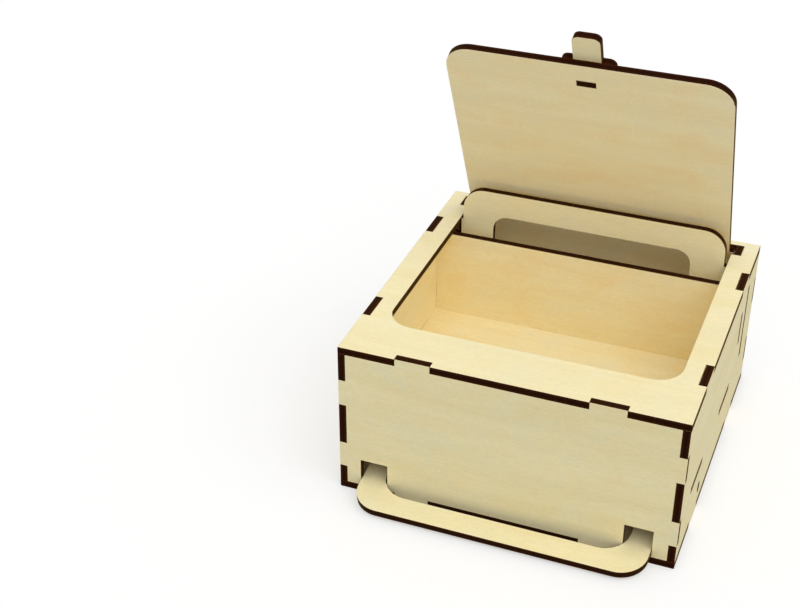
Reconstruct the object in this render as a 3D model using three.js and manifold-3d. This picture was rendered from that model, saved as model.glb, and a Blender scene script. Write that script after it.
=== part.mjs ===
// Plywood keepsake box with a press handle that lifts its lid, shown standing open.
// Millimetres, Z up, the front towards -Y. While the pieces are made, x runs from the middle,
// y from the front face of the box and z from the surface that the box stands on.
import * as THREE from 'three';
import { mergeVertices } from 'three/addons/utils/BufferGeometryUtils.js';
import Module from 'manifold-3d';

const wasm = await Module();
wasm.setup();

// Shared sizes: the outside of the box, its sheet and the gaps between its pieces.
const box = { width: 131.8, depth: 131.2, height: 65.35 };
const ply = 3;
const fit = 0.1;
const running = 0.25;
const glueLine = 0.25;
const overrun = 1;
const cornerSteps = 10;

// Edge joints: tabs of the walls in the bottom and top panels, set in from the corners, and the
// fingers at the corners, whose lower and upper ends are shares of the height.
const frontTab = { inset: 29.35, width: 13.6 };
const sideTab = { inset: 31.1, width: 13.4 };
const fingerShares = [[0.161, 0.331], [0.602, 0.773]];

// Widths of the top panel round its opening, and the lid's gaps in that opening.
const rail = { front: 21.85, side: 9.8, rear: 4.4, cornerRadius: 10.5 };
const lid = { cornerRadius: 10.6, heel: 2.4, earLength: 1.8, gap: 1.2, rearGap: 0.8 };
const hinge = { openDegrees: 64.9, pinRadius: 0.8, pinDepth: 4 };
const hingePlate = { depth: 8.2, height: 29.35, gap: 0.3, tabShares: [0.239, 0.647] };

// What stands on the lid: a T that reaches over the front rail, and an upright plate to hold.
const restPlate = {
  crossWidth: 21, crossDepth: 13.7, setback: 0.55,
  stemWidth: 10.8, stemReach: 11.6, cornerRadius: 2.8,
};
const grip = { setback: 7.95, width: 14.3, height: 3.4, cornerRadius: 2.8, tabWidth: 7.3 };

// Lift frame: slides up and down in a slot of each side panel and pushes the lid open. Its
// setback is from the hinge axis to its rear face. Its shoulders, just below the top of the
// box, are wider than the part that stands out.
const frame = {
  setback: 10.6, sideGap: 1.05, earHeight: 9.2, cornerRadius: 9, windowRadius: 6.3,
  topRail: 10.8, sideRail: 13.35, bottomRail: 11.8, shoulderDrop: 0.55,
  lidGap: 0.2, swingSteps: 400,
};
const guideSlot = { bottom: 23.7, belowTop: 7.95 };

// Inside: a floor on four tabs, and a partition on two that stands clear of the lift frame. The
// shares of the floor's tabs are of its depth, and those of the partition's of the height.
const floor = { underside: 21.2, tabShares: [[0.157, 0.367], [0.695, 0.897]] };
const partition = { frameGap: 7.6, lift: 1, tabShares: [0.552, 0.773] };

// Press lever: one ring, tipped about two ears, with its front bar as the handle.
const lever = {
  pivotY: 37.5, pivotZ: 10.2, handleReach: 13.7, tail: 3, barWidth: 9.3,
  armInset: 9, armWidth: 8.7, outerRadius: 10.8, innerRadius: 10.4, earWidth: 2.6,
  sillGap: 0.21, floorGap: 0.45, restGap: 0.31,
};
const handleSlot = { height: 12, outerGap: 0.3, innerGap: 1.9 };

const half = box.width / 2;
const inner = half - ply;
const outside = { x: [-half, half], y: [0, box.depth], z: [0, box.height] };
const bottomZ = [0, ply];
const topZ = [box.height - ply, box.height];
const wallZ = [ply, box.height - ply];
const frontY = [0, ply];
const backY = [box.depth - ply, box.depth];
const sides = [-1, 1];

const lidHalf = half - rail.side - lid.gap;
const lidFront = rail.front + lid.gap;
const axisY = box.depth - rail.rear - lid.rearGap - lid.heel;
const axisZ = box.height - ply / 2;
const earTip = lidHalf + lid.earLength;
const hingePlateX = [earTip + hingePlate.gap, earTip + hingePlate.gap + ply];

const frameY = [axisY - frame.setback - ply, axisY - frame.setback];
const partitionY = [frameY[0] - partition.frameGap - ply, frameY[0] - partition.frameGap];
const floorY = [frontY[1], partitionY[0]];
const floorZ = [floor.underside, floor.underside + ply];
const guideZ = [guideSlot.bottom, box.height - guideSlot.belowTop];
const frameTravel = guideZ[1] - guideZ[0] - frame.earHeight - 2 * running;
const armX = [half - lever.armInset - lever.armWidth, half - lever.armInset];

const radians = (degrees) => THREE.MathUtils.degToRad(degrees);
const span = (centre, width) => [centre - width / 2, centre + width / 2];
const onSide = (side, [low, high]) => (side > 0 ? [low, high] : [-high, -low]);
const between = ([low, high], shares) => shares.map((share) => low + share * (high - low));

// Turns a closed three.js geometry into a solid that can be joined and cut.
function solidOf(geometry) {
  geometry.deleteAttribute('normal');
  geometry.deleteAttribute('uv');
  const merged = mergeVertices(geometry);
  return new wasm.Manifold(new wasm.Mesh({
    numProp: 3,
    vertProperties: new Float32Array(merged.attributes.position.array),
    triVerts: new Uint32Array(merged.index.array),
  }));
}

// Sends every point of a geometry to the place that a rule gives it.
function placed(geometry, rule) {
  const { position } = geometry.attributes;
  for (let index = 0; index < position.count; index += 1) {
    const place = rule(position.getX(index), position.getY(index), position.getZ(index));
    position.setXYZ(index, ...place);
  }
  return solidOf(geometry);
}

const endOf = ([low, high], place) => (place > 0 ? high : low);

function block({ x, y, z }) {
  return placed(new THREE.BoxGeometry(), (i, j, k) => [endOf(x, i), endOf(y, j), endOf(z, k)]);
}

// The cut that lets a piece through a panel: longer than the panel along its way through and
// past the outside of the box, and wider by the fit everywhere else.
function cutFor(range, through) {
  const grown = {};
  for (const axis of ['x', 'y', 'z']) {
    const [low, high] = range[axis];
    const [outerLow, outerHigh] = outside[axis];
    grown[axis] = [
      low - (axis === through || low <= outerLow ? overrun : fit),
      high + (axis === through || high >= outerHigh ? overrun : fit),
    ];
  }
  return block(grown);
}

const joined = (first, others) => others.reduce((whole, next) => whole.add(next), first);
const cut = (first, cutters) => cutters.reduce((rest, next) => rest.subtract(next), first);

// An outline with rounded corners, from rows of [across, up, radius].
function roundedShape(corners) {
  const points = corners.flatMap(([x, y, radius], index) => {
    const corner = new THREE.Vector2(x, y);
    if (!radius) {
      return [corner];
    }
    const [beforeX, beforeY] = corners.at(index - 1);
    const [afterX, afterY] = corners[(index + 1) % corners.length];
    const before = new THREE.Vector2(beforeX, beforeY).sub(corner).normalize();
    const after = new THREE.Vector2(afterX, afterY).sub(corner).normalize();
    const opening = Math.acos(before.dot(after)) / 2;
    const middle = before.clone().add(after).normalize();
    const centre = corner.clone().addScaledVector(middle, radius / Math.sin(opening));
    const start = before.clone().multiplyScalar(radius / Math.tan(opening)).add(corner);
    const sweep = Math.sign(before.cross(after)) * (2 * opening - Math.PI);
    return Array.from({ length: cornerSteps + 1 }, (_, step) => (
      start.clone().rotateAround(centre, (sweep * step) / cornerSteps)
    ));
  });
  return new THREE.Shape(points);
}

function roundedRectangle([left, right], [bottom, top], bottomRadius, topRadius) {
  return roundedShape([
    [left, bottom, bottomRadius],
    [right, bottom, bottomRadius],
    [right, top, topRadius],
    [left, top, topRadius],
  ]);
}

// A flat sheet cut to an outline: lying, with the outline in x and y, or upright across the
// box, with the outline in x and z.
const unitSheet = (shape) => new THREE.ExtrudeGeometry(shape, { depth: 1, bevelEnabled: false });

function lyingSheet(shape, z) {
  return placed(unitSheet(shape), (i, j, k) => [i, j, endOf(z, k)]);
}

function uprightSheet(shape, [near, far]) {
  return placed(unitSheet(shape), (i, j, k) => [i, endOf([far, near], k), j]);
}

function rodAlongX([low, high], y, z, radius) {
  const geometry = new THREE.CylinderGeometry(radius, radius, high - low, 4 * cornerSteps);
  return solidOf(geometry.rotateZ(Math.PI / 2).translate((low + high) / 2, y, z));
}

// Turns a solid made level into the pose that the box stands in.
function turned(solid, angle, y, z) {
  const mesh = solid.getMesh();
  const positions = new THREE.BufferAttribute(new Float32Array(mesh.vertProperties), 3);
  const turn = new THREE.Matrix4().makeTranslation(0, y, z)
    .multiply(new THREE.Matrix4().makeRotationX(angle))
    .multiply(new THREE.Matrix4().makeTranslation(0, -y, -z));
  positions.applyMatrix4(turn);
  return new wasm.Manifold(new wasm.Mesh({
    numProp: 3,
    vertProperties: positions.array,
    triVerts: mesh.triVerts,
  }));
}

// Where the tabs and fingers of the walls lie.
const frontTabX = sides.map((side) => span(side * (half - frontTab.inset), frontTab.width));
const sideTabY = [sideTab.inset, box.depth - sideTab.inset].map((y) => span(y, sideTab.width));
const fingerZ = fingerShares.map((shares) => between(outside.z, shares));
const floorTabY = floor.tabShares.map((shares) => between(floorY, shares));

const wallTabs = (y, z) => frontTabX.map((x) => ({ x, y, z }));
const endTabs = (side, z) => sideTabY.map((y) => ({ x: onSide(side, [inner, half]), y, z }));
const cornerFingers = (side, y) => fingerZ.map((z) => ({ x: onSide(side, [inner, half]), y, z }));

// The tabs of the inner pieces, on one side of the box.
const floorTabs = (side) => floorTabY.map((y) => (
  { x: onSide(side, [inner, half]), y, z: floorZ }
));
const partitionTab = (side) => ({
  x: onSide(side, [inner, half]),
  y: partitionY,
  z: between(outside.z, partition.tabShares),
});
const hingePlateBody = (side) => ({
  x: onSide(side, hingePlateX),
  y: [backY[0] - hingePlate.depth, backY[0]],
  z: [box.height - hingePlate.height, box.height],
});
const hingePlateTab = (side) => ({
  x: onSide(side, hingePlateX),
  y: backY,
  z: between(hingePlateBody(side).z, hingePlate.tabShares),
});

function bottomPanel() {
  const tabs = [
    ...wallTabs(frontY, bottomZ),
    ...wallTabs(backY, bottomZ),
    ...sides.flatMap((side) => endTabs(side, bottomZ)),
  ];
  return cut(block({ ...outside, z: bottomZ }), tabs.map((tab) => cutFor(tab, 'z')));
}

// A ring round the lid, with two bays at the rear that the hinge plates and lid ears fill.
function topPanel() {
  const tabs = [
    ...wallTabs(frontY, topZ),
    ...sides.flatMap((side) => endTabs(side, topZ)),
  ];
  const opening = roundedRectangle(
    [rail.side - half, half - rail.side],
    [rail.front, box.depth - rail.rear],
    rail.cornerRadius,
    0,
  );
  const bays = sides.map((side) => {
    const plate = hingePlateBody(side);
    return block({
      x: onSide(side, [0, hingePlateX[1] + fit]),
      y: [plate.y[0] - fit, plate.y[1]],
      z: [topZ[0] - overrun, topZ[1] + overrun],
    });
  });
  return cut(block({ ...outside, z: topZ }), [
    ...tabs.map((tab) => cutFor(tab, 'z')),
    lyingSheet(opening, [topZ[0] - overrun, topZ[1] + overrun]),
    ...bays,
  ]);
}

// The wall blank shared by front and back: a sheet with its bottom tabs and corner fingers.
function crossWall(y) {
  return joined(block({ x: [-inner, inner], y, z: wallZ }), [
    ...wallTabs(y, bottomZ).map(block),
    ...sides.flatMap((side) => cornerFingers(side, y)).map(block),
  ]);
}

function frontPanel() {
  const slots = sides.map((side) => block({
    x: onSide(side, [armX[0] - handleSlot.innerGap, armX[1] + handleSlot.outerGap]),
    y: [frontY[0] - overrun, frontY[1] + overrun],
    z: [0, ply + handleSlot.height],
  }));
  return cut(joined(crossWall(frontY), wallTabs(frontY, topZ).map(block)), slots);
}

function backPanel() {
  return cut(crossWall(backY), sides.map((side) => cutFor(hingePlateTab(side), 'y')));
}

function sidePanel(side) {
  const x = onSide(side, [inner, half]);
  const guide = block({
    x: [x[0] - overrun, x[1] + overrun],
    y: [frameY[0] - running, frameY[1] + running],
    z: guideZ,
  });
  const earRadius = Math.hypot(lever.earWidth, ply) / 2 + running;
  const blank = joined(block({ x, y: outside.y, z: wallZ }), [
    ...endTabs(side, bottomZ).map(block),
    ...endTabs(side, topZ).map(block),
  ]);
  return cut(blank, [
    ...[frontY, backY].flatMap((y) => cornerFingers(side, y)).map((finger) => cutFor(finger, 'x')),
    ...floorTabs(side).map((tab) => cutFor(tab, 'x')),
    cutFor(partitionTab(side), 'x'),
    guide,
    rodAlongX([x[0] - overrun, x[1] + overrun], lever.pivotY, lever.pivotZ, earRadius),
  ]);
}

function compartmentFloor() {
  const body = block({ x: [-inner, inner], y: floorY, z: floorZ });
  return joined(body, sides.flatMap(floorTabs).map(block));
}

function rearPartition() {
  const z = [floor.underside + partition.lift, topZ[0]];
  const body = block({ x: [-inner, inner], y: partitionY, z });
  return joined(body, sides.map(partitionTab).map(block));
}

// Stands against the back panel, tabbed through it, with its top flush in the top panel.
function hingePlatePiece(side) {
  const plate = block(hingePlateBody(side)).add(block(hingePlateTab(side)));
  const x = onSide(side, [hingePlateX[0] - overrun, hingePlateX[1] + overrun]);
  return plate.subtract(rodAlongX(x, axisY, axisZ, hinge.pinRadius + fit / 2));
}

function hingePin(side) {
  const x = onSide(side, [earTip - hinge.pinDepth, hingePlateX[1]]);
  return rodAlongX(x, axisY, axisZ, hinge.pinRadius);
}

// The angle at which a sheet's face, tipped about its middle, meets a height at a distance.
function tipTo(distance, height) {
  const slant = Math.hypot(distance, height);
  return Math.acos(ply / 2 / slant) - Math.atan2(distance, height);
}

// Pressed down, the lever stops over the sill of the handle slots or under the floor. Let go,
// it lies with its tail on the bottom panel.
const leverOpen = Math.min(
  tipTo(lever.pivotY, lever.pivotZ - ply - lever.sillGap),
  tipTo(partitionY[0] - lever.pivotY, floor.underside - lever.pivotZ - lever.floorGap),
);
const leverFront = (lever.pivotY + lever.handleReach) / Math.cos(leverOpen);
const leverRear = (frameY[1] - lever.pivotY) / Math.cos(leverOpen) + lever.tail;
const leverClosed = tipTo(leverRear, lever.pivotZ - ply - lever.restGap);

function pressLever() {
  const z = span(lever.pivotZ, ply);
  const reach = [lever.pivotY - leverFront, lever.pivotY + leverRear];
  const outline = roundedRectangle(
    [-armX[1], armX[1]],
    reach,
    lever.outerRadius,
    lever.outerRadius / 2,
  );
  const window = roundedRectangle(
    [-armX[0], armX[0]],
    [reach[0] + lever.barWidth, reach[1] - lever.barWidth],
    lever.innerRadius,
    lever.innerRadius / 2,
  );
  const ears = block({
    x: [running - half, half - running],
    y: span(lever.pivotY, lever.earWidth),
    z,
  });
  const level = cut(lyingSheet(outline, z).add(ears), [
    lyingSheet(window, [z[0] - overrun, z[1] + overrun]),
  ]);
  return turned(level, leverOpen, lever.pivotY, lever.pivotZ);
}

// The highest place for the frame's top edge that keeps it clear of the lid all the way when
// both move evenly together, found by turning the lid in small steps.
function frameTop() {
  const heights = Array.from({ length: frame.swingSteps + 1 }, (_, step) => {
    const share = step / frame.swingSteps;
    const angle = radians(share * hinge.openDegrees);
    const underside = axisZ + frame.setback * Math.tan(angle) - ply / 2 / Math.cos(angle);
    return underside - frame.lidGap + frameTravel * (1 - share);
  });
  return Math.min(...heights);
}

// The lowest place for the frame's feet that keeps them off the lever at both ends of its swing.
function frameBottom() {
  const leverTop = (y, angle) => (
    lever.pivotZ + (y - lever.pivotY) * Math.tan(angle) + ply / 2 / Math.cos(angle)
  );
  return 2 * running + Math.max(
    leverTop(frameY[0], -leverClosed) + frameTravel,
    leverTop(frameY[1], leverOpen),
  );
}

function liftFrame() {
  const z = [frameBottom(), frameTop()];
  const width = half - rail.side - frame.sideGap;
  const outline = roundedRectangle([-width, width], z, 0, frame.cornerRadius);
  const window = roundedRectangle(
    [frame.sideRail - width, width - frame.sideRail],
    [z[0] + frame.bottomRail, z[1] - frame.topRail],
    frame.windowRadius,
    frame.windowRadius,
  );
  const shoulderHalf = half - rail.side - running;
  const shoulders = block({
    x: [-shoulderHalf, shoulderHalf],
    y: frameY,
    z: [z[0], box.height - frame.shoulderDrop],
  });
  const ears = block({
    x: outside.x,
    y: frameY,
    z: [guideZ[1] - running - frame.earHeight, guideZ[1] - running],
  });
  return cut(joined(uprightSheet(outline, frameY), [shoulders, ears]), [
    uprightSheet(window, [frameY[0] - overrun, frameY[1] + overrun]),
  ]);
}

// Lid pieces are made closed and then turned open about the hinge.
const restPlateZ = [topZ[1] + glueLine, topZ[1] + glueLine + ply];
const gripY = [lidFront + grip.setback, lidFront + grip.setback + ply];
const opened = (solid) => turned(solid, -radians(hinge.openDegrees), axisY, axisZ);

function gripSlot() {
  return block({
    x: span(0, grip.tabWidth + 2 * fit),
    y: [gripY[0] - fit, gripY[1] + fit],
    z: [topZ[0] - overrun, restPlateZ[1] + overrun],
  });
}

function lidPanel() {
  const outline = roundedRectangle(
    [-lidHalf, lidHalf],
    [lidFront, axisY + lid.heel],
    lid.cornerRadius,
    0,
  );
  const ears = block({ x: [-earTip, earTip], y: [axisY - lid.heel, axisY + lid.heel], z: topZ });
  const bores = sides.map((side) => rodAlongX(
    onSide(side, [earTip - hinge.pinDepth - running, earTip + overrun]),
    axisY,
    axisZ,
    hinge.pinRadius + fit,
  ));
  return opened(cut(lyingSheet(outline, topZ).add(ears), [gripSlot(), ...bores]));
}

// The T whose stem reaches over the front of the opening and stops the lid.
function lidRestPlate() {
  const crossFront = lidFront + restPlate.setback;
  const crossRear = crossFront + restPlate.crossDepth;
  const tip = lidFront - restPlate.stemReach;
  const cross = restPlate.crossWidth / 2;
  const stem = restPlate.stemWidth / 2;
  const radius = restPlate.cornerRadius;
  const outline = roundedShape([
    [-stem, tip, radius],
    [stem, tip, radius],
    [stem, crossFront, 0],
    [cross, crossFront, radius],
    [cross, crossRear, 0],
    [-cross, crossRear, 0],
    [-cross, crossFront, radius],
    [-stem, crossFront, 0],
  ]);
  return opened(lyingSheet(outline, restPlateZ).subtract(gripSlot()));
}

function lidGripPlate() {
  const base = restPlateZ[1] + glueLine;
  const outline = roundedRectangle(
    span(0, grip.width),
    [base, base + grip.height],
    0,
    grip.cornerRadius,
  );
  const tab = block({ x: span(0, grip.tabWidth), y: gripY, z: [topZ[0], base] });
  return opened(uprightSheet(outline, gripY).add(tab));
}

// Fine birch veneer, a little paler on the panels that lie in the light.
function plywood(colour) {
  return new THREE.MeshStandardMaterial({ color: colour, roughness: 0.62, metalness: 0 });
}

function steel() {
  return new THREE.MeshStandardMaterial({ color: 0xb9bbbd, roughness: 0.35, metalness: 1 });
}

function meshOf(name, solid, material) {
  const { vertProperties, triVerts } = solid.getMesh();
  const geometry = new THREE.BufferGeometry();
  geometry.setAttribute('position', new THREE.BufferAttribute(new Float32Array(vertProperties), 3));
  geometry.setIndex(new THREE.BufferAttribute(new Uint32Array(triVerts), 1));
  geometry.translate(0, -box.depth / 2, 0);
  geometry.computeVertexNormals();
  const mesh = new THREE.Mesh(geometry, material);
  mesh.name = name;
  return mesh;
}

const pieces = [
  ['bottom_panel', bottomPanel(), plywood(0xe3d3a2)],
  ['front_panel', frontPanel(), plywood(0xe6d7a8)],
  ['back_panel', backPanel(), plywood(0xe4d5a5)],
  ['left_side_panel', sidePanel(-1), plywood(0xe2d2a0)],
  ['right_side_panel', sidePanel(1), plywood(0xe2d2a0)],
  ['top_panel', topPanel(), plywood(0xf1e6be)],
  ['compartment_floor', compartmentFloor(), plywood(0xe8d4a0)],
  ['rear_partition', rearPartition(), plywood(0xe8d4a0)],
  ['left_hinge_plate', hingePlatePiece(-1), plywood(0xe0cf9c)],
  ['right_hinge_plate', hingePlatePiece(1), plywood(0xe0cf9c)],
  ['left_hinge_pin', hingePin(-1), steel()],
  ['right_hinge_pin', hingePin(1), steel()],
  ['press_lever', pressLever(), plywood(0xeee2b8)],
  ['lift_frame', liftFrame(), plywood(0xe9dbac)],
  ['lid_panel', lidPanel(), plywood(0xeadcae)],
  ['lid_rest_plate', lidRestPlate(), plywood(0xefe3ba)],
  ['lid_grip_plate', lidGripPlate(), plywood(0xe8daaa)],
];

const model = new THREE.Group();
model.name = 'press_handle_box';
model.add(...pieces.map(([name, solid, material]) => meshOf(name, solid, material)));

export default model;
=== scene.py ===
# The look of the press-handle keepsake box: a laser-cut plywood box that stands open.
import math

import bmesh
import bpy
from mathutils import Matrix, Vector


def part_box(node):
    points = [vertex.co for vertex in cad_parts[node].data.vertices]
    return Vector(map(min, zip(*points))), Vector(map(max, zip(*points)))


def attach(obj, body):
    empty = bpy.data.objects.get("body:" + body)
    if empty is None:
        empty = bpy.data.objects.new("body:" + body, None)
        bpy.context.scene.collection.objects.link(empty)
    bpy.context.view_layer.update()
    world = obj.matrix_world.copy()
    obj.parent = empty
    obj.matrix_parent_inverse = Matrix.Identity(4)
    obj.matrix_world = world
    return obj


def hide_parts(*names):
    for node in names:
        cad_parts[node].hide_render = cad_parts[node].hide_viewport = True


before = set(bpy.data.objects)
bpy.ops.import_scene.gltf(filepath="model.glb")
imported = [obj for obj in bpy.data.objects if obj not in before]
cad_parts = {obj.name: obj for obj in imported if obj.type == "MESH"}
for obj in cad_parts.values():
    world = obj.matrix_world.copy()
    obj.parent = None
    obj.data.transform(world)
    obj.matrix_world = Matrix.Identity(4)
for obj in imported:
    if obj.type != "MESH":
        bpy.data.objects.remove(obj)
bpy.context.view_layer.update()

# Bottom panel
# A square of 3 mm birch plywood, cut on a laser like every other sheet of the box, with four
# pairs of slots for the tabs of the walls. The box stands on it.
MM = 0.001
PLY = 3 * MM
ARRIS = 0.07 * MM
ARRIS_ANGLE = math.radians(40)
WELD = 0.002 * MM
SEAM_WELD = 0.001 * MM
STRAIGHT = math.radians(1)
FACING = 0.5
ALONG_X = Vector((1, 0, 0))
ALONG_Y = Vector((0, 1, 0))
UP = Vector((0, 0, 1))


def linear(code):
    """The linear colour of an sRGB hex value."""
    parts = [int(code[place:place + 2], 16) / 255 for place in (1, 3, 5)]
    return [p / 12.92 if p <= 0.04045 else ((p + 0.055) / 1.055) ** 2.4 for p in parts] + [1]


def add(tree, kind, links=None, inputs=None, **settings):
    """Adds a node with its settings, the values of its inputs and what is linked to them."""
    node = tree.nodes.new(kind)
    for name, value in settings.items():
        setattr(node, name, value)
    for name, value in (inputs or {}).items():
        node.inputs[name].default_value = value
    for name, source in (links or {}).items():
        tree.links.new(source, node.inputs[name])
    return node


def empty_tree(owner):
    """The node tree of a new material or world, with nothing in it yet."""
    owner.use_nodes = True
    owner.node_tree.nodes.clear()
    return owner.node_tree


def plywood_finish(name):
    """A new material with its surface shader and the place on the plywood blank."""
    material = bpy.data.materials.new(name)
    tree = empty_tree(material)
    blank = add(tree, "ShaderNodeAttribute", attribute_name="blank")
    surface = add(tree, "ShaderNodeBsdfPrincipled")
    add(tree, "ShaderNodeOutputMaterial", {"Surface": surface.outputs["BSDF"]})
    return material, tree, blank.outputs["Vector"], surface


def waves(tree, place, per_metre, detail=2, distortion=0):
    """A pattern with a number of waves per metre along, across and through the sheet."""
    spread = add(tree, "ShaderNodeMapping", {"Vector": place}, {"Scale": per_metre})
    noise = add(
        tree, "ShaderNodeTexNoise", {"Vector": spread.outputs[0]},
        {"Scale": 1, "Detail": detail, "Roughness": 0.55, "Distortion": distortion},
    )
    return noise.outputs["Fac"]


def stain(tree, colour, pattern, low, high, most, code):
    """Mixes a colour in, from none of it where a pattern is low to the most where it is high."""
    share = add(
        tree, "ShaderNodeMapRange", {"Value": pattern},
        {"From Min": low, "From Max": high, "To Min": 0, "To Max": most},
    )
    stained = add(
        tree, "ShaderNodeMix", {"A": colour, "Factor": share.outputs[0]}, {"B": linear(code)},
        data_type="RGBA",
    )
    return stained.outputs["Result"]


def vary(tree, colour, pattern, low, high, dark, light):
    """Makes a colour darker where a pattern is low and lighter where it is high."""
    tone = add(
        tree, "ShaderNodeMapRange", {"Value": pattern},
        {"From Min": low, "From Max": high, "To Min": dark, "To Max": light},
    )
    varied = add(
        tree, "ShaderNodeMix", {"A": colour, "B": tone.outputs[0]}, {"Factor": 1},
        data_type="RGBA", blend_type="MULTIPLY",
    )
    return varied.outputs["Result"]


# Birch plywood, rotary-cut face veneer, sanded and left bare. It gives the eye a pale cream
# face with faint bands along the grain, warm and cool clouds, fine pores and no gloss.
def birch_veneer(name, pale, band, warm, cool, fleck):
    material, tree, blank, surface = plywood_finish(name)
    # Growth bands: about 10 mm wide and 80 mm long.
    bands = waves(tree, blank, (12, 100, 700), 3, 0.7)
    banded = add(
        tree, "ShaderNodeMapRange", {"Value": bands}, {"From Min": 0.35, "From Max": 0.68},
    )
    ground = add(
        tree, "ShaderNodeMix", {"Factor": banded.outputs[0]},
        {"A": linear(pale), "B": linear(band)}, data_type="RGBA",
    )
    # Clouds, 12 to 20 mm across: warm ones, and cool ones where the sap was pale.
    clouds = waves(tree, blank, (52, 78, 700), 3, 0.4)
    colour = stain(tree, ground.outputs["Result"], clouds, 0.52, 0.72, 0.6, warm)
    colour = stain(tree, colour, clouds, 0.5, 0.3, 0.6, cool)
    # Fibres, 0.5 mm wide: coarser than the real ones so that they show.
    fibres = waves(tree, blank, (75, 1900, 1900), 3, 0.2)
    colour = vary(tree, colour, fibres, 0.25, 0.75, 0.975, 1.018)
    # Pores: a fine uneven tone, 1.6 mm by 0.7 mm.
    pores = waves(tree, blank, (620, 1500, 1500))
    colour = vary(tree, colour, pores, 0.3, 0.7, 0.962, 1.026)
    # Flecks: sparse brown dashes, at most 2 mm by 0.4 mm.
    flecks = waves(tree, blank, (430, 2100, 2100), 1)
    colour = stain(tree, colour, flecks, 0.7, 0.82, 0.25, fleck)
    # The fibres stand up a little and their crests are rubbed smoother.
    nap = add(
        tree, "ShaderNodeMapRange", {"Value": fibres},
        {"From Min": 0.2, "From Max": 0.8, "To Min": 0.7, "To Max": 0.56},
    )
    relief = add(
        tree, "ShaderNodeBump", {"Height": fibres}, {"Strength": 0.35, "Distance": 0.06 * MM},
    )
    tree.links.new(colour, surface.inputs["Base Color"])
    tree.links.new(nap.outputs[0], surface.inputs["Roughness"])
    tree.links.new(relief.outputs["Normal"], surface.inputs["Normal"])
    surface.inputs["IOR"].default_value = 1.45
    return material


# Plywood edge charred by the laser. It gives the eye a near-black brown line with the two
# glue lines just darker, upright streaks from the beam and a dry surface without gloss.
def charred_edge():
    material, tree, blank, surface = plywood_finish("laser_charred_edge")
    # Three plies of 1 mm: the core is burnt darker than the outer two, and the glue darkest.
    parts = add(tree, "ShaderNodeSeparateXYZ", {"Vector": blank})
    through = add(
        tree, "ShaderNodeMapRange", {"Value": parts.outputs["Z"]}, {"From Min": 0, "From Max": PLY},
    )
    plies = add(tree, "ShaderNodeValToRGB", {"Fac": through.outputs[0]})
    ramp = plies.color_ramp
    ramp.elements[0].color = linear("#391709")
    ramp.elements[1].position = 0.31
    ramp.elements[1].color = linear("#2f1206")
    for place, code in (
        (0.335, "#160703"), (0.36, "#240d05"), (0.64, "#240d05"),
        (0.665, "#160703"), (0.69, "#2f1206"), (1, "#3d190a"),
    ):
        ramp.elements.new(place).color = linear(code)
    # Streaks left by the beam: 0.35 mm apart, and twice as long as the sheet is thick.
    streaks = waves(tree, blank, (2800, 2800, 170))
    colour = vary(tree, plies.outputs["Color"], streaks, 0.25, 0.75, 0.65, 1.35)
    dryness = add(tree, "ShaderNodeMapRange", {"Value": streaks}, {"To Min": 0.7, "To Max": 0.9})
    relief = add(
        tree, "ShaderNodeBump", {"Height": streaks}, {"Strength": 0.5, "Distance": 0.1 * MM},
    )
    tree.links.new(colour, surface.inputs["Base Color"])
    tree.links.new(dryness.outputs[0], surface.inputs["Roughness"])
    tree.links.new(relief.outputs["Normal"], surface.inputs["Normal"])
    surface.inputs["Specular IOR Level"].default_value = 0.02
    # The soot stands up in fine dust, which shows a golden brown veil from low angles.
    surface.inputs["Sheen Weight"].default_value = 0.16
    surface.inputs["Sheen Roughness"].default_value = 0.4
    surface.inputs["Sheen Tint"].default_value = linear("#f8c850")
    return material


def named_tree(name, inputs, made):
    """A geometry node tree with its named inputs and the one geometry that it makes."""
    tree = bpy.data.node_groups.new(name, "GeometryNodeTree")
    for title, kind in inputs:
        tree.interface.new_socket(title, in_out="INPUT", socket_type=kind)
    tree.interface.new_socket(made, in_out="OUTPUT", socket_type="NodeSocketGeometry")
    return tree, add(tree, "NodeGroupInput").outputs


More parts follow.
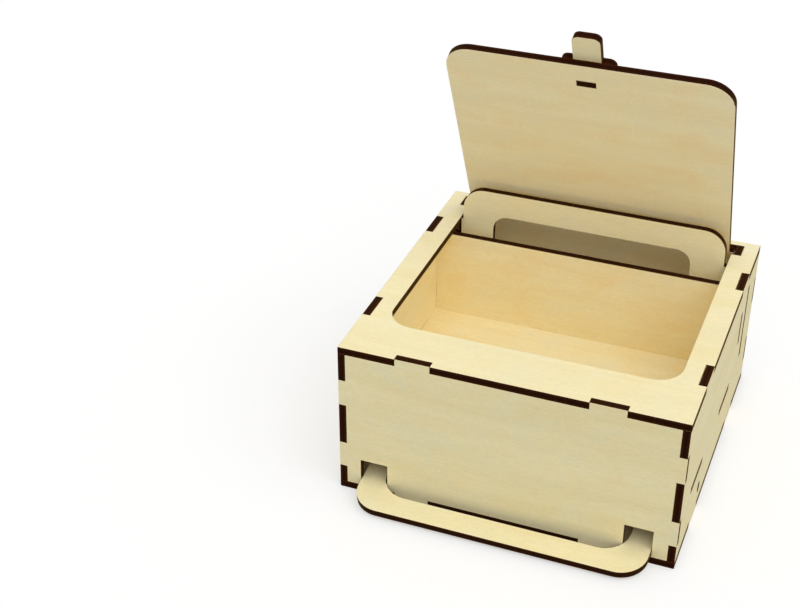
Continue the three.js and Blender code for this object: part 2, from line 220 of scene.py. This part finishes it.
def laser_cut_sheet():
    """Geometry nodes that fill a cut outline, give it the ply's thickness and char its edge."""
    tree, given = named_tree(
        "laser_cut_sheet",
        (
            ("Outline", "NodeSocketGeometry"), ("Thickness", "NodeSocketFloat"),
            ("Place on blank", "NodeSocketVector"), ("Upper veneer", "NodeSocketMaterial"),
            ("Lower veneer", "NodeSocketMaterial"), ("Cut edge", "NodeSocketMaterial"),
        ),
        "Sheet",
    )
    loops = add(tree, "GeometryNodeMeshToCurve", {"Mesh": given["Outline"]})
    filled = add(tree, "GeometryNodeFillCurve", {"Curve": loops.outputs[0]}, mode="NGONS")
    rise = add(tree, "ShaderNodeCombineXYZ", {"Z": given["Thickness"]})
    raised = add(
        tree, "GeometryNodeExtrudeMesh",
        {"Mesh": filled.outputs[0], "Offset": rise.outputs[0]}, {"Individual": False},
    )
    lower = add(tree, "GeometryNodeFlipFaces", {"Mesh": filled.outputs[0]})
    both = add(tree, "GeometryNodeJoinGeometry")
    tree.links.new(raised.outputs["Mesh"], both.inputs[0])
    tree.links.new(lower.outputs[0], both.inputs[0])
    closed = add(
        tree, "GeometryNodeMergeByDistance", {"Geometry": both.outputs[0]},
        {"Distance": SEAM_WELD},
    )
    spot = add(tree, "GeometryNodeInputPosition")
    on_blank = add(
        tree, "ShaderNodeVectorMath",
        {0: spot.outputs[0], 1: given["Place on blank"]}, operation="ADD",
    )
    marked = add(
        tree, "GeometryNodeStoreNamedAttribute",
        {"Geometry": closed.outputs[0], "Value": on_blank.outputs[0]},
        {"Name": "blank"}, data_type="FLOAT_VECTOR", domain="POINT",
    )
    whole = add(tree, "GeometryNodeRealizeInstances", {"Geometry": marked.outputs[0]})
    dressed = add(
        tree, "GeometryNodeSetMaterial",
        {"Geometry": whole.outputs[0], "Material": given["Cut edge"]},
    )
    facing = add(tree, "GeometryNodeInputNormal")
    rising = add(tree, "ShaderNodeSeparateXYZ", {"Vector": facing.outputs[0]})
    for veneer, comparison, limit in (
        ("Upper veneer", "GREATER_THAN", FACING), ("Lower veneer", "LESS_THAN", -FACING),
    ):
        chosen = add(
            tree, "FunctionNodeCompare", {"A": rising.outputs["Z"]}, {"B": limit},
            operation=comparison,
        )
        dressed = add(
            tree, "GeometryNodeSetMaterial",
            {"Geometry": dressed.outputs[0], "Selection": chosen.outputs[0],
             "Material": given[veneer]},
        )
    add(tree, "NodeGroupOutput", {"Sheet": dressed.outputs[0]})
    return tree


def put_in_scene(name, data):
    """A new object of the scene, at the origin, that shows some data."""
    item = bpy.data.objects.new(name, data)
    bpy.context.scene.collection.objects.link(item)
    return item


def ease_arrises(drawing):
    """Eases each arris by less than a tenth, because the beam leaves no knife edge."""
    arris = drawing.modifiers.new("arris", "BEVEL")
    arris.width = ARRIS
    arris.limit_method = "ANGLE"
    arris.angle_limit = ARRIS_ANGLE


def made_mesh(node, drawn, tree, values, finish=None):
    """The plain mesh that geometry nodes make from a drawing and their named inputs."""
    drawing = put_in_scene(node + "_drawing", drawn)
    maker = drawing.modifiers.new("maker", "NODES")
    maker.node_group = tree
    for item in tree.interface.items_tree:
        if item.name in values:
            maker[item.identifier] = values[item.name]
    if finish:
        finish(drawing)
    mesh = bpy.data.meshes.new_from_object(
        drawing.evaluated_get(bpy.context.evaluated_depsgraph_get())
    )
    bpy.data.objects.remove(drawing)
    return mesh


def cut_outline(node, to_blank):
    """The loops that the laser cut, read off the lower face of a packed sheet."""
    loops = bmesh.new()
    loops.from_mesh(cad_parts[node].data)
    loops.transform(to_blank)
    bmesh.ops.remove_doubles(loops, verts=loops.verts, dist=WELD)
    loops.normal_update()
    rest = [face for face in loops.faces if face.calc_center_median().z > PLY / 100]
    bmesh.ops.delete(loops, geom=rest, context="FACES")
    seams = [edge for edge in loops.edges if len(edge.link_faces) == 2]
    bmesh.ops.delete(loops, geom=seams, context="EDGES")
    bmesh.ops.delete(loops, geom=loops.faces[:], context="FACES_ONLY")
    needless = [
        vert for vert in loops.verts
        if len(vert.link_edges) == 2 and vert.calc_edge_angle(0) < STRAIGHT
    ]
    bmesh.ops.dissolve_verts(loops, verts=needless)
    mesh = bpy.data.meshes.new(node)
    loops.to_mesh(mesh)
    loops.free()
    return mesh


sheet_tree = laser_cut_sheet()
cut_edge = charred_edge()


def cut_sheet(node, body, along, across, upper, place, lower=None):
    """Cuts a sheet of plywood to a node's outline, upper veneer towards along x across."""
    upright = along.cross(across)
    low = min(vert.co.dot(upright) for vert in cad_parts[node].data.vertices)
    turn = Matrix((along, across, upright)).transposed().to_4x4()
    from_blank = turn @ Matrix.Translation((0, 0, low))
    values = {
        "Thickness": PLY, "Place on blank": place, "Upper veneer": upper,
        "Lower veneer": lower or upper, "Cut edge": cut_edge,
    }
    outline = cut_outline(node, from_blank.inverted())
    mesh = made_mesh(node, outline, sheet_tree, values, ease_arrises)
    mesh.transform(from_blank)
    piece = put_in_scene(node + "_sheet", mesh)
    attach(piece, body)
    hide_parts(node)


# The box's plywood is drawn as copies of one veneer, and the small differences in colour between
# them are painted light. This shell copy, on the outer faces, is the base tone.
shell_veneer = birch_veneer(
    "birch_veneer_shell", "#f4e8b9", "#eee0ad", "#f1dfa8", "#ebe5be", "#b8935c",
)
cut_sheet(
    "bottom_panel", "box", ALONG_X, ALONG_Y, shell_veneer, (0.30, 0.10, 0),
)

# Front and back panel
# Walls of the same plywood, glued with their tabs in the bottom and top panel and their
# fingers in the side panels. The front one has a slot at each lower corner for the handle.
# The inside copy is paler and warmer: partly the warmer tone of the plywood's inner faces, partly
# painted light that stands in for light bounced between the walls of the compartment.
inner_veneer_with_painted_bounce = birch_veneer(
    "birch_veneer_inside_painted_bounce", "#f8edc1", "#f3e3b0", "#f4dea6", "#f1e8c3", "#c0955a",
)
cut_sheet(
    "front_panel", "box", ALONG_X, UP, shell_veneer, (0.10, 0.40, 0),
    inner_veneer_with_painted_bounce,
)
cut_sheet(
    "back_panel", "box", ALONG_X, UP, inner_veneer_with_painted_bounce, (0.70, 0.25, 0),
    shell_veneer,
)

# Side panels
# The other two walls, with slots for the floor, the partition and the ears of the lift frame
# and a round hole for the ear of the press lever.
cut_sheet(
    "left_side_panel", "box", ALONG_Y, UP, inner_veneer_with_painted_bounce, (0.45, 0.62, 0),
    shell_veneer,
)
cut_sheet(
    "right_side_panel", "box", ALONG_Y, UP, shell_veneer, (0.15, 0.77, 0),
    inner_veneer_with_painted_bounce,
)

# Compartment floor and rear partition
# Two sheets that close the compartment below and behind, held by tabs in the side panels.
# Both have the paler, warmer inside veneer: partly its own warmer tone, partly painted bounce
# light.
cut_sheet(
    "compartment_floor", "box", ALONG_X, ALONG_Y, inner_veneer_with_painted_bounce, (0.52, 0.90, 0),
)
cut_sheet("rear_partition", "box", ALONG_X, UP, inner_veneer_with_painted_bounce, (0.90, 0.12, 0))

# Hinge plates
# Two narrow uprights glued to the back panel, whose burnt top ends lie flush in the top panel
# beside the ears of the lid. Each has a hole for its hinge pin.
# They take the inside copy of the veneer, with its painted bounce light.
for side in ("left", "right"):
    cut_sheet(
        side + "_hinge_plate", "box", ALONG_Y, UP, inner_veneer_with_painted_bounce,
        (0.20, 0.95, 0),
    )

# Hinge pins
# Two short pieces of drawn steel wire, pressed through the holes of the hinge plates. Their
# inner ends stand in the bores of the lid's ears, which turn on them.
PIN_SIDES = 40


# Drawn steel wire. It gives the eye a grey gleam with fine lines along the wire.
def drawn_steel():
    material = bpy.data.materials.new("drawn_steel_wire")
    tree = empty_tree(material)
    place = add(tree, "ShaderNodeTexCoord")
    # Die lines: 0.1 mm apart and 3 mm long.
    lines = waves(tree, place.outputs["Object"], (300, 9000, 9000))
    tone = add(
        tree, "ShaderNodeMix", {"Factor": lines},
        {"A": linear("#a9aaad"), "B": linear("#c8c9cb")}, data_type="RGBA",
    )
    gleam = add(tree, "ShaderNodeMapRange", {"Value": lines}, {"To Min": 0.28, "To Max": 0.48})
    surface = add(
        tree, "ShaderNodeBsdfPrincipled",
        {"Base Color": tone.outputs["Result"], "Roughness": gleam.outputs[0]}, {"Metallic": 1},
    )
    add(tree, "ShaderNodeOutputMaterial", {"Surface": surface.outputs["BSDF"]})
    return material


def hinge_wire():
    """Geometry nodes that draw one wire pin from start to end, with closed ends."""
    tree, given = named_tree(
        "hinge_wire",
        (
            ("Geometry", "NodeSocketGeometry"), ("Start", "NodeSocketVector"),
            ("End", "NodeSocketVector"), ("Radius", "NodeSocketFloat"),
            ("Wire", "NodeSocketMaterial"),
        ),
        "Pin",
    )
    line = add(
        tree, "GeometryNodeCurvePrimitiveLine", {"Start": given["Start"], "End": given["End"]},
    )
    ring = add(
        tree, "GeometryNodeCurvePrimitiveCircle", {"Radius": given["Radius"]},
        {"Resolution": PIN_SIDES},
    )
    wire = add(
        tree, "GeometryNodeCurveToMesh",
        {"Curve": line.outputs[0], "Profile Curve": ring.outputs[0]}, {"Fill Caps": True},
    )
    whole = add(tree, "GeometryNodeRealizeInstances", {"Geometry": wire.outputs[0]})
    made = add(
        tree, "GeometryNodeSetMaterial",
        {"Geometry": whole.outputs[0], "Material": given["Wire"]},
    )
    add(tree, "NodeGroupOutput", {"Pin": made.outputs[0]})
    return tree


wire_tree = hinge_wire()
steel = drawn_steel()
for side in ("left", "right"):
    node = side + "_hinge_pin"
    low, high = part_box(node)
    middle = (low + high) / 2
    values = {
        "Start": (low.x, middle.y, middle.z), "End": (high.x, middle.y, middle.z),
        "Radius": (high.z - low.z) / 2, "Wire": steel,
    }
    mesh = made_mesh(node, bpy.data.meshes.new(node), wire_tree, values)
    pin = put_in_scene(node + "_wire", mesh)
    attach(pin, "box")
    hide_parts(node)

# Top panel
# The ring round the lid: rounded front corners, two bays at the rear for the hinge, and slots
# in which the burnt ends of the wall tabs show.
# The top copy is a shade paler than the shell copy: painted light.
top_veneer_painted_light = birch_veneer(
    "birch_veneer_top_painted_light", "#f7ebbe", "#f2e5b4", "#f5e4af", "#f0e9c4", "#bf9c66",
)
cut_sheet("top_panel", "box", ALONG_X, ALONG_Y, top_veneer_painted_light, (0.05, 0.05, 0))

# Press lever
# One flat ring: its front bar is the handle, its ears turn in the side panels and its rear bar
# lifts the frame. It stands tipped by the angle of its pressed position.
LEVER_TIP = math.radians(8.304)
lever_across = Vector((0, math.cos(LEVER_TIP), math.sin(LEVER_TIP)))
cut_sheet(
    "press_lever", "lever", ALONG_X, lever_across, shell_veneer, (0.62, 0.70, 0),
)

# Lift frame
# An upright frame with a window. Its ears slide in the tall slots of the side panels, the
# lever lifts it from below, and its rounded top pushes the lid open.
# The frame takes the top copy of the veneer, whose extra paleness is painted light.
cut_sheet("lift_frame", "frame", ALONG_X, UP, top_veneer_painted_light, (0.33, 0.70, 0))

# Lid: panel, rest plate and grip plate
# A sheet with rounded front corners and two ears at the hinge. On it lies the T-shaped rest,
# whose stem reaches over the top panel, and the small upright grip with its tab through both.
LID_SWING = math.radians(64.9)
lid_across = Vector((0, math.cos(LID_SWING), -math.sin(LID_SWING)))
lid_upright = ALONG_X.cross(lid_across)
# The lid's underside takes the palest copy of the veneer: painted light that stands in for light
# bounced onto it from the box.
lid_underside_painted_bounce_veneer = birch_veneer(
    "birch_veneer_lid_underside_painted_bounce", "#fcf1c6", "#f8e9b9", "#f9e2ad", "#f5ecc7", "#c0955a",
)
# The lid's upper face and the rest plate take the paler top copy of the veneer: painted light.
cut_sheet(
    "lid_panel", "lid", ALONG_X, lid_across, top_veneer_painted_light, (0.80, 0.55, 0),
    lid_underside_painted_bounce_veneer,
)
cut_sheet(
    "lid_rest_plate", "lid", ALONG_X, lid_across, top_veneer_painted_light, (0.25, 0.33, 0),
)
cut_sheet(
    "lid_grip_plate", "lid", ALONG_X, lid_upright, shell_veneer, (0.12, 0.20, 0),
)

# Floor
# A sheet of white paper, many times as wide as the box, on which the box stands and throws a
# soft shadow.
FLOOR_HALF = 6
floor_mesh = bpy.data.meshes.new("studio_floor")
floor_mesh.from_pydata(
    [
        (-FLOOR_HALF, -FLOOR_HALF, 0), (FLOOR_HALF, -FLOOR_HALF, 0),
        (FLOOR_HALF, FLOOR_HALF, 0), (-FLOOR_HALF, FLOOR_HALF, 0),
    ],
    [], [(0, 1, 2, 3)],
)
studio_floor = put_in_scene("studio_floor", floor_mesh)


# Matt white paper. It gives the eye a plain white ground that keeps the box's soft shadow:
# what the camera sees of it is lifted to white where no shadow falls.
def matt_paper():
    lift_to_white = 0.44
    material = bpy.data.materials.new("matt_white_paper")
    tree = empty_tree(material)
    ray = add(tree, "ShaderNodeLightPath").outputs
    lift = add(
        tree, "ShaderNodeMath", {0: ray["Is Camera Ray"]}, {1: lift_to_white},
        operation="MULTIPLY",
    )
    glow = add(tree, "ShaderNodeEmission", {"Strength": lift.outputs[0]})
    surface = add(
        tree, "ShaderNodeBsdfPrincipled", None,
        {"Base Color": linear("#c4c4c4"), "Roughness": 0.9, "Specular IOR Level": 0.1},
    )
    lifted = add(tree, "ShaderNodeAddShader", {0: surface.outputs[0], 1: glow.outputs[0]})
    add(tree, "ShaderNodeOutputMaterial", {"Surface": lifted.outputs[0]})
    return material


floor_mesh.materials.append(matt_paper())

# Light
# An even pale sky and one broad lamp above the front right corner. The camera, and whatever
# shines or is clear, sees the sky as plain white.
SKY_STRENGTH = 0.65
BACKDROP_STRENGTH = 1
WHITE = (1, 1, 1, 1)
LAMP_STRENGTH = 1.34
LAMP_BREADTH = math.radians(70)
LAMP_PLACE = Vector((0.44, -0.36, 1))

world = bpy.data.worlds.new("studio")
bpy.context.scene.world = world
sky_tree = empty_tree(world)
ray = add(sky_tree, "ShaderNodeLightPath").outputs
seen_or_mirrored = add(
    sky_tree, "ShaderNodeMath",
    {0: ray["Is Camera Ray"], 1: ray["Is Glossy Ray"]}, operation="MAXIMUM",
)
not_scattered = add(
    sky_tree, "ShaderNodeMath",
    {0: seen_or_mirrored.outputs[0], 1: ray["Is Transmission Ray"]}, operation="MAXIMUM",
)
sky = add(
    sky_tree, "ShaderNodeBackground", None, {"Color": WHITE, "Strength": SKY_STRENGTH},
)
backdrop = add(
    sky_tree, "ShaderNodeBackground", None, {"Color": WHITE, "Strength": BACKDROP_STRENGTH},
)
blend = add(
    sky_tree, "ShaderNodeMixShader",
    {"Fac": not_scattered.outputs[0], 1: sky.outputs[0], 2: backdrop.outputs[0]},
)
add(sky_tree, "ShaderNodeOutputWorld", {"Surface": blend.outputs[0]})

lamp = bpy.data.lights.new("overhead_softbox", "SUN")
lamp.energy = LAMP_STRENGTH
lamp.angle = LAMP_BREADTH
softbox = put_in_scene("overhead_softbox", lamp)
softbox.location = LAMP_PLACE
softbox.rotation_euler = (-LAMP_PLACE).to_track_quat("-Z", "Y").to_euler()

# Camera
# The camera that took the photo: its place in metres, its turn in degrees and its lens, as
# solved from the corners of the panels.
SENSOR_WIDTH_MM = 36
LENS_MM = 67.92
LENS_SHIFT = (0.026777, 0.021415)
NEAREST = 0.02
CAMERA_PLACE = (0.1225, -0.4874, 0.3754)
CAMERA_TURN = (57.084, 0.393, 21.914)
DIFFUSE_BOUNCES = 12

camera_data = bpy.data.cameras.new("photo_camera")
camera_data.sensor_fit = "HORIZONTAL"
camera_data.sensor_width = SENSOR_WIDTH_MM
camera_data.lens = LENS_MM
camera_data.shift_x, camera_data.shift_y = LENS_SHIFT
camera_data.clip_start = NEAREST
camera = put_in_scene("photo_camera", camera_data)
camera.location = CAMERA_PLACE
camera.rotation_euler = [math.radians(angle) for angle in CAMERA_TURN]
bpy.context.scene.camera = camera
bpy.context.scene.view_settings.view_transform = "Standard"
# Light goes on bouncing between the pale walls of the compartment, and leaves it warm.
bpy.context.scene.cycles.diffuse_bounces = DIFFUSE_BOUNCES
